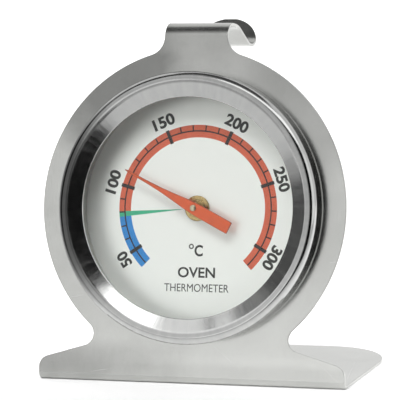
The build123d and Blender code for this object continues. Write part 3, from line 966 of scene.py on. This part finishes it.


# bezel: bright drawn steel with faint radial streaks and fine handling marks; painted shade darkens its outer rim, most
# on the left, less on the outer shoulder and towards the bottom
def bezel_material(name="polished_steel"):
    m = Nodes(name)
    x, y, v = m.local()
    r = m.hypot(x, v)
    cx, sx = m.math("DIVIDE", x, r), m.math("DIVIDE", v, r)
    streak = m.noise(m.join(m.math("MULTIPLY", cx, 22.0), m.math("MULTIPLY", sx, 22.0), m.math("MULTIPLY", r, 0.22)), 1.0, 4.0, 0.6)
    rings_ = m.noise(m.join(m.math("MULTIPLY", cx, 0.9), m.math("MULTIPLY", sx, 0.9), m.math("MULTIPLY", m.math("ADD", r, y), 14.0)), 1.0, 2.0, 0.5)
    mott = m.noise(m.coord, 600.0, 3.0, 0.6)
    rough = m.math("ADD", m.span(streak, 0.3, 0.7, 0.095, 0.16), m.math("MULTIPLY", m.span(mott, 0.35, 0.7, 0.0, 1.0), 0.03))
    col = m.ramp(streak, [(0.3, (0.655, 0.662, 0.655)), (0.7, (0.745, 0.748, 0.735))])
    # painted shade: beyond r 23.6 the colour drops to half, to an eighth on the left, lifted by a quarter over r
    # 24.1-25 and by up to 35 per cent towards the bottom
    painted_shade_left = m.span(x, -23.0, -14.0, 0.12, 0.50, True)
    bezel_painted_shade = m.span(r, 23.1, 23.6, 1.0, painted_shade_left, True)
    bezel_painted_shade = m.math("MULTIPLY", bezel_painted_shade, m.span(r, 24.1, 25.0, 1.0, 1.25, True))
    painted_light_low = m.span(v, -18.0, 4.0, 1.35, 1.0, True)
    bezel_painted_shade = m.math("MULTIPLY", bezel_painted_shade, m.math("ADD", 1.0, m.math("MULTIPLY", m.math("SUBTRACT", painted_light_low, 1.0), m.span(r, 23.1, 23.6, 0.0, 1.0))))
    col = m.mix(1.0, col, m.join(bezel_painted_shade, bezel_painted_shade, bezel_painted_shade), "MULTIPLY")
    h1 = m.bump(streak, 0.05, 0.0001)
    h2 = m.bump(rings_, 0.02, 0.00004, h1)
    m.shader(Base_Color=col, Metallic=1.0, Roughness=rough, Normal=h2)
    return m.mat


# deep-drawn cup: duller, with drawing lines round the wall and turned rings on
# its floor
def case_material(name="case_steel", tone=0.55, rough0=0.28):
    m = Nodes(name)
    x, y, v = m.local()
    r = m.hypot(x, v)
    spin = m.noise(m.join(m.math("MULTIPLY", r, 9.0), m.math("MULTIPLY", y, 9.0), 0.0), 1.0, 4.0, 0.65)
    draw = m.noise(m.join(m.math("MULTIPLY", m.math("DIVIDE", x, r), 60.0), m.math("MULTIPLY", m.math("DIVIDE", v, r), 60.0), m.math("MULTIPLY", y, 0.5)), 1.0, 3.0, 0.6)
    mott = m.noise(m.coord, 260.0, 4.0, 0.6)
    wear = m.noise(m.coord, 900.0, 4.0, 0.65, 0.6)
    rough = m.math("ADD", m.span(mott, 0.3, 0.7, rough0 - 0.05, rough0 + 0.06), m.math("MULTIPLY", m.span(spin, 0.35, 0.65, 0.0, 1.0), 0.05))
    col = m.ramp(m.math("ADD", m.math("MULTIPLY", mott, 0.6), m.math("MULTIPLY", spin, 0.4)),
                 [(0.35, (tone * 0.9, tone * 0.9, tone * 0.875)), (0.65, (tone * 1.1, tone * 1.1, tone * 1.08))])
    col = m.mix(m.span(wear, 0.62, 0.75, 0.0, 0.35), col, (tone * 1.3, tone * 1.3, tone * 1.28))
    h1 = m.bump(spin, 0.10, 0.00003)
    h2 = m.bump(draw, 0.06, 0.00004, h1)
    m.shader(Base_Color=col, Metallic=1.0, Roughness=rough, Normal=h2)
    return m.mat


# dial: satin silvered face with a faint upright grain
def dial_material():
    m = Nodes("printed_dial")
    x, y, v = m.local()
    grain = m.noise(m.join(m.math("MULTIPLY", x, 7.0), 0.0, m.math("MULTIPLY", v, 0.12)), 1.0, 4.0, 0.65)
    mott = m.noise(m.coord, 420.0, 3.0, 0.6)
    speck = m.noise(m.coord, 7000.0, 1.0, 0.5)
    rough = m.math("ADD", m.span(grain, 0.3, 0.7, 0.29, 0.36), m.math("MULTIPLY", mott, 0.03))
    col = m.ramp(m.math("ADD", m.math("MULTIPLY", grain, 0.6), m.math("MULTIPLY", mott, 0.4)),
                 [(0.35, (0.935, 0.945, 0.915)), (0.65, (0.975, 0.985, 0.950))])
    h1 = m.bump(grain, 0.06, 0.00003)
    h2 = m.bump(speck, 0.05, 0.000006, h1)
    m.shader(Base_Color=col, Metallic=0.38, Roughness=rough, Normal=h2)
    return m.mat


def ink_material(name, rgb, vary=0.10):
    m = Nodes(name)
    x, y, v = m.local()
    halftone = m.noise(m.coord, 9000.0, 2.0, 0.6)
    patch = m.noise(m.coord, 700.0, 3.0, 0.6)
    t = m.math("ADD", m.math("MULTIPLY", halftone, 0.45), m.math("MULTIPLY", patch, 0.55))
    lo = tuple(c * (1 - vary) for c in rgb)
    hi = tuple(min(1.0, c * (1 + vary) + 0.01 * vary) for c in rgb)
    col = m.ramp(t, [(0.35, lo), (0.65, hi)])
    rough = m.span(patch, 0.3, 0.7, 0.38, 0.5)
    m.shader(Base_Color=col, Metallic=0.0, Roughness=rough, Specular_IOR_Level=0.35, Normal=m.bump(halftone, 0.12, 0.000008))
    return m.mat


# pointer: sprayed enamel with a little orange peel, and a painted shadow dark along its edges
def paint_material():
    m = Nodes("pointer_red")
    peel = m.noise(m.coord, 3600.0, 2.0, 0.5)
    patch = m.noise(m.coord, 500.0, 4.0, 0.6)
    dust = m.noise(m.coord, 12000.0, 1.0, 0.5)
    base = srgb(220, 96, 54)
    col = m.ramp(patch, [(0.3, tuple(c * 0.9 for c in base)), (0.7, tuple(c * 1.08 for c in base))])
    col = m.mix(m.span(dust, 0.68, 0.8, 0.0, 0.25), col, (0.75, 0.55, 0.45))
    # painted shadow: the colour goes dark along the blade's sheared edges
    x, y, v = m.local()
    ca, sa = math.cos(POINTER_AT), math.sin(POINTER_AT)
    along = m.math("ADD", m.math("MULTIPLY", x, ca), m.math("MULTIPLY", v, sa))
    across = m.math("ABSOLUTE", m.math("SUBTRACT", m.math("MULTIPLY", v, ca), m.math("MULTIPLY", x, sa)))
    half = m.span(along, -1.0, 1.6, 1.17, 1.0)
    for a0, a1, drop_ in ((1.6, 4.2, 0.28), (4.2, 7.4, 0.30), (7.4, 10.6, 0.14), (10.6, 14.6, 0.09), (14.6, 15.45, 0.11)):
        half = m.math("SUBTRACT", half, m.span(along, a0, a1, 0.0, drop_))
    edge = m.math("SUBTRACT", half, across)
    edge = m.math("MINIMUM", edge, m.math("ADD", along, 8.05))
    edge = m.math("ADD", edge, m.span(patch, 0.3, 0.7, -0.02, 0.02))
    # the painted shadow outline, up to 72 per cent towards a dark red
    col = m.mix(m.span(edge, 0.02, 0.15, 0.72, 0.0, True), col, (0.16, 0.035, 0.02))
    rough = m.span(patch, 0.3, 0.7, 0.34, 0.46)
    m.shader(Base_Color=col, Metallic=0.0, Roughness=rough, Specular_IOR_Level=0.45, Normal=m.bump(peel, 0.12, 0.00002))
    return m.mat


def brass_material(name="brass", base=(0.60, 0.44, 0.20)):
    m = Nodes(name)
    x, y, v = m.local()
    r = m.hypot(x, v)
    turned_ = m.noise(m.join(m.math("MULTIPLY", r, 26.0), m.math("MULTIPLY", y, 26.0), 0.0), 1.0, 3.0, 0.6)
    tarnish = m.noise(m.coord, 1500.0, 4.0, 0.65)
    col = m.ramp(tarnish, [(0.3, tuple(c * 0.72 for c in base)), (0.7, tuple(min(1, c * 1.15) for c in base))])
    rough = m.math("ADD", m.span(tarnish, 0.3, 0.7, 0.2, 0.34), m.math("MULTIPLY", turned_, 0.06))
    m.shader(Base_Color=col, Metallic=1.0, Roughness=rough, Normal=m.bump(turned_, 0.14, 0.00002))
    return m.mat


def plain_material(name, lo, hi, r0, r1, scale=900.0):
    m = Nodes(name)
    a = m.noise(m.coord, scale, 4.0, 0.6)
    b = m.noise(m.coord, scale * 6, 2.0, 0.6)
    col = m.ramp(a, [(0.3, lo), (0.7, hi)])
    m.shader(Base_Color=col, Metallic=1.0, Roughness=m.span(a, 0.3, 0.7, r0, r1), Normal=m.bump(b, 0.12, 0.00001))
    return m.mat


# window: clear glass, a faint film on it
def glass_material():
    m = Nodes("window_glass")
    film = m.noise(m.coord, 130.0, 4.0, 0.6)
    gl = m.nt.nodes.new("ShaderNodeBsdfGlossy")
    m.put(gl.inputs["Roughness"], m.span(film, 0.3, 0.7, 0.015, 0.05))
    gl.inputs["Color"].default_value = (1, 1, 1, 1)
    tr = m.nt.nodes.new("ShaderNodeBsdfTransparent")
    tr.inputs["Color"].default_value = (0.985, 0.992, 0.988, 1)
    fr = m.nt.nodes.new("ShaderNodeFresnel")
    fr.inputs["IOR"].default_value = 1.26
    mx = m.nt.nodes.new("ShaderNodeMixShader")
    m.nt.links.new(fr.outputs[0], mx.inputs[0])
    m.nt.links.new(tr.outputs[0], mx.inputs[1])
    m.nt.links.new(gl.outputs[0], mx.inputs[2])
    m.nt.links.new(mx.outputs[0], m.out.inputs[0])
    return m.mat


SATIN = stand_material()
POLISHED = bezel_material()
CASE = case_material()
INNER = case_material("spacer_steel", 0.62, 0.3)
DIAL = dial_material()
BRASS = brass_material()
PALE_BRASS = brass_material("spindle_brass", (0.72, 0.64, 0.46))
PAINT = paint_material()
GLASS = glass_material()
PLAIN = plain_material("plain_steel", (0.42, 0.42, 0.41), (0.58, 0.58, 0.56), 0.28, 0.45)
BIMETAL = plain_material("bimetal_strip", (0.40, 0.37, 0.33), (0.58, 0.53, 0.47), 0.3, 0.48, 600.0)
RED_INK = ink_material("red_ink", srgb(218, 106, 78))
BLUE_INK = ink_material("blue_ink", srgb(54, 140, 214))
GREEN_INK = ink_material("green_ink", srgb(70, 184, 142))
DARK_INK = ink_material("dark_ink", srgb(52, 46, 46), 0.2)
GREY_INK = ink_material("grey_ink", srgb(56, 57, 54), 0.2)


def give(ob, mat, body="case", nodes=()):
    ob.data.materials.clear()
    ob.data.materials.append(mat)
    if body:
        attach(ob, body)
    if nodes:
        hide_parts(*nodes)


give(stand, SATIN, "case", ["stand_plate"])
give(bezel, POLISHED, "case", ["bezel_ring"])
give(rear, CASE, "case", ["rear_case"])
give(spacer, INNER, "case", ["lens_spacer_ring"])
give(bush, BRASS, "case", ["dial_bush"])
give(spindle_piece, PALE_BRASS, "pointer_assembly", ["spindle"])
give(pointer_plate, PAINT, "pointer_assembly", ["pointer"])
give(pointer_boss, BRASS, "pointer_assembly", ["pointer_boss"])
for ob, mat in ((red_band, RED_INK), (blue_band, BLUE_INK), (green_band, GREEN_INK), (ticks, DARK_INK),
                (figures, GREY_INK), (words, GREY_INK), (deg, GREY_INK)):
    give(ob, mat, "case")

coil.data.materials.append(BIMETAL)
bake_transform(coil)
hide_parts("bimetal_coil")

BY_SLOT = {
    "satin_steel": SATIN, "polished_steel": POLISHED, "window_glass": GLASS, "printed_dial": DIAL, "case_steel": CASE,
    "plain_steel": PLAIN, "brass": BRASS, "bimetal_strip": BIMETAL, "pointer_red": PAINT,
}
slot_of = {}
for sub in frame["record"].get("subparts", []):
    if isinstance(sub, dict):
        slot_of[sub.get("node") or sub.get("name")] = sub.get("material_slot")
for name, ob in frame["nodes"].items():
    mats = [mt.name for mt in ob.data.materials if mt]
    slot_name = slot_of.get(name)
    if slot_name is None:
        for sname in BY_SLOT:
            if any(sname in mt for mt in mats):
                slot_name = sname
    mat = BY_SLOT.get(slot_name, PLAIN)
    if not ob.data.materials:
        ob.data.materials.append(mat)
    for s in ob.material_slots:
        s.material = mat

# ---------------------------------------------------------------------------
# Floor, light and camera
# ---------------------------------------------------------------------------
def card(name, az0, az1, el0, el1, dist, strength, colour=(1, 1, 1), emit=True):
    """A curved card round the object, seen by reflections and not by the camera."""
    na, ne = 24, 10
    verts, faces = [], []
    for i in range(na + 1):
        for j in range(ne + 1):
            a = math.radians(az0 + (az1 - az0) * i / na)
            e = math.radians(el0 + (el1 - el0) * j / ne)
            verts.append((dist * math.sin(a) * math.cos(e), -dist * math.cos(a) * math.cos(e), 0.033 + dist * math.sin(e)))
    for i in range(na):
        for j in range(ne):
            k = i * (ne + 1) + j
            faces.append((k, k + 1, k + ne + 2, k + ne + 1))
    me = bpy.data.meshes.new(name)
    me.from_pydata(verts, [], faces)
    ob = bpy.data.objects.new(name, me)
    bpy.context.scene.collection.objects.link(ob)
    mat = bpy.data.materials.new(name)
    mat.use_nodes = True
    nt = mat.node_tree
    nt.nodes.clear()
    out = nt.nodes.new("ShaderNodeOutputMaterial")
    if emit:
        sh = nt.nodes.new("ShaderNodeEmission")
        sh.inputs["Color"].default_value = (*colour, 1)
        sh.inputs["Strength"].default_value = strength
    else:
        sh = nt.nodes.new("ShaderNodeBsdfDiffuse")
        sh.inputs["Color"].default_value = (*colour, 1)
    nt.links.new(sh.outputs[0], out.inputs[0])
    me.materials.append(mat)
    ob.visible_camera = False
    ob.visible_shadow = False
    return ob


me = bpy.data.meshes.new("floor")
fr_, fn = 4.0, 64
me.from_pydata(
    [(0, 0, 0)] + [(fr_ * math.cos(2 * math.pi * i / fn), fr_ * math.sin(2 * math.pi * i / fn), 0) for i in range(fn)],
    [], [(0, 1 + i, 1 + (i + 1) % fn) for i in range(fn)],
)
floor = bpy.data.objects.new("floor", me)
bpy.context.scene.collection.objects.link(floor)
floor_mat = bpy.data.materials.new("floor_paper")
floor_mat.use_nodes = True
ft = floor_mat.node_tree
fb = ft.nodes["Principled BSDF"]
fc = ft.nodes.new("ShaderNodeTexCoord")
fx_ = ft.nodes.new("ShaderNodeSeparateXYZ")
# painted shade: the floor's colour falls from 0.95 behind to 0.50 in front
floor_painted_shade = ft.nodes.new("ShaderNodeMapRange")
floor_painted_shade.interpolation_type = "SMOOTHSTEP"
for i_, v_ in enumerate((-0.10, -0.015, 0.50, 0.95)):
    floor_painted_shade.inputs[i_ + 1].default_value = v_
ft.links.new(fc.outputs["Object"], fx_.inputs[0])
ft.links.new(fx_.outputs["Y"], floor_painted_shade.inputs[0])
ft.links.new(floor_painted_shade.outputs[0], fb.inputs["Base Color"])
# painted light: the floor behind the object glows, up to 0.45, which washes out the shadow cast there
floor_painted_glow = ft.nodes.new("ShaderNodeMapRange")
floor_painted_glow.interpolation_type = "SMOOTHSTEP"
for i_, v_ in enumerate((-0.03, 0.03, 0.0, 0.45)):
    floor_painted_glow.inputs[i_ + 1].default_value = v_
ft.links.new(fx_.outputs["Y"], floor_painted_glow.inputs[0])
fb.inputs["Emission Color"].default_value = (1, 1, 1, 1)
ft.links.new(floor_painted_glow.outputs[0], fb.inputs["Emission Strength"])
fb.inputs["Roughness"].default_value = 0.8
fb.inputs["Specular IOR Level"].default_value = 0.2
me.materials.append(floor_mat)
floor.location = (0, 0, -0.00002)

world = bpy.data.worlds.new("studio")
bpy.context.scene.world = world
world.use_nodes = True
bg = world.node_tree.nodes["Background"]
bg.inputs["Color"].default_value = (1.0, 1.0, 1.0, 1)
bg.inputs["Strength"].default_value = 1.0

def painted_shade_sheet(name, az0, az1, r0, r1, value):
    """A flat sector lying on the floor in front, out of the camera's sight: a dim emitting sheet of painted shade."""
    n = 24
    verts, faces = [], []
    for i in range(n + 1):
        a = math.radians(az0 + (az1 - az0) * i / n)
        for r in (r0, r1):
            verts.append((r * math.sin(a), -r * math.cos(a), 0.0006))
    for i in range(n):
        faces.append((2 * i, 2 * i + 1, 2 * i + 3, 2 * i + 2))
    me = bpy.data.meshes.new(name)
    me.from_pydata(verts, [], faces)
    ob = bpy.data.objects.new(name, me)
    bpy.context.scene.collection.objects.link(ob)
    mat = bpy.data.materials.new(name)
    mat.use_nodes = True
    nt = mat.node_tree
    nt.nodes.clear()
    out = nt.nodes.new("ShaderNodeOutputMaterial")
    sh = nt.nodes.new("ShaderNodeEmission")
    sh.inputs["Strength"].default_value = value
    nt.links.new(sh.outputs[0], out.inputs[0])
    me.materials.append(mat)
    ob.visible_camera = False
    ob.visible_shadow = False
    return ob


E = 0.95  # what the plate and the dial mirror
# straight ahead, round the camera: unlit
card("card_black", 4, 44, -2, 38, 1.30, 0.002)
card("card_edge", -8, 4, -2, 36, 1.32, 0.5)
card("card_grey", -48, -8, -2, 34, 1.34, E)
card("card_low_left", -44, -19.8, -2, 7, 1.28, 1.05)
card("card_low_right", -19.8, -9, -2, 7, 1.28, 1.7)
card("card_dark", -84, -48, -2, 28, 1.36, 0.085)
card("card_side", -84, -48, 28, 42, 1.36, 0.22)
card("card_corner", -84, -39, 42, 66, 1.30, 0.08)
card("soft_top", -39, -15, 34, 48, 1.28, 0.95)
card("soft_left", -39, -15, 48, 58, 1.28, 0.55)
card("soft_main", -15, 64, 38, 57, 1.28, 2.2)
card("soft_fill", -15, 4, 35, 38, 1.28, 1.2)
card("soft_upper", -39, 64, 57, 66, 1.24, 0.5)
card("soft_right", 44, 84, -2, 35, 1.26, 1.4)
card("overhead", -180, 180, 66, 89.5, 1.2, 0.10)
# the table top in front falls into shade away from the object
painted_shade_sheet("mat_black", 4, 44, 0.135, 1.25, 0.004)
painted_shade_sheet("mat_edge", -6, 4, 0.185, 1.25, 0.15)
painted_shade_sheet("mat_side", -84, -52, 0.16, 1.25, 0.35)

key = bpy.data.lights.new("key", "AREA")
key.shape = "RECTANGLE"
key.size, key.size_y = 0.9, 0.6
key.energy = 11.6
key_ob = bpy.data.objects.new("key", key)
bpy.context.scene.collection.objects.link(key_ob)
key_ob.location = (-0.05, -0.82, 1.05)
key_ob.rotation_mode = "QUATERNION"
key_ob.rotation_quaternion = (Vector((0, 0, 0.03)) - Vector(key_ob.location)).to_track_quat("-Z", "Y")
key_ob.visible_glossy = False

# camera: the view's azimuth, elevation, roll and distance from the dial centre
A, E, RO, D = math.radians(19.584), math.radians(8.639), math.radians(-2.087), 0.566008
back = Vector((math.sin(A) * math.cos(E), -math.cos(A) * math.cos(E), math.sin(E)))
right = (-back).cross(Vector((0, 0, 1))).normalized()
upv = right.cross(-back)
right, upv = right * math.cos(RO) + upv * math.sin(RO), upv * math.cos(RO) - right * math.sin(RO)
cam = bpy.data.cameras.new("camera")
cam.sensor_width = 36.0
cam.lens = 3032.072 * 36.0 / 400.0
cam.clip_start, cam.clip_end = 0.01, 20.0
cam_ob = bpy.data.objects.new("camera", cam)
bpy.context.scene.collection.objects.link(cam_ob)
loc = Vector(DC) + Vector((0.001572, 0, 0.001548)) + back * D
cam_ob.matrix_world = Matrix((
    (right.x, upv.x, back.x, loc.x), (right.y, upv.y, back.y, loc.y), (right.z, upv.z, back.z, loc.z), (0, 0, 0, 1),
))
bpy.context.scene.camera = cam_ob
bpy.context.scene.view_settings.view_transform = "Standard"
bpy.context.scene.view_settings.look = "None"
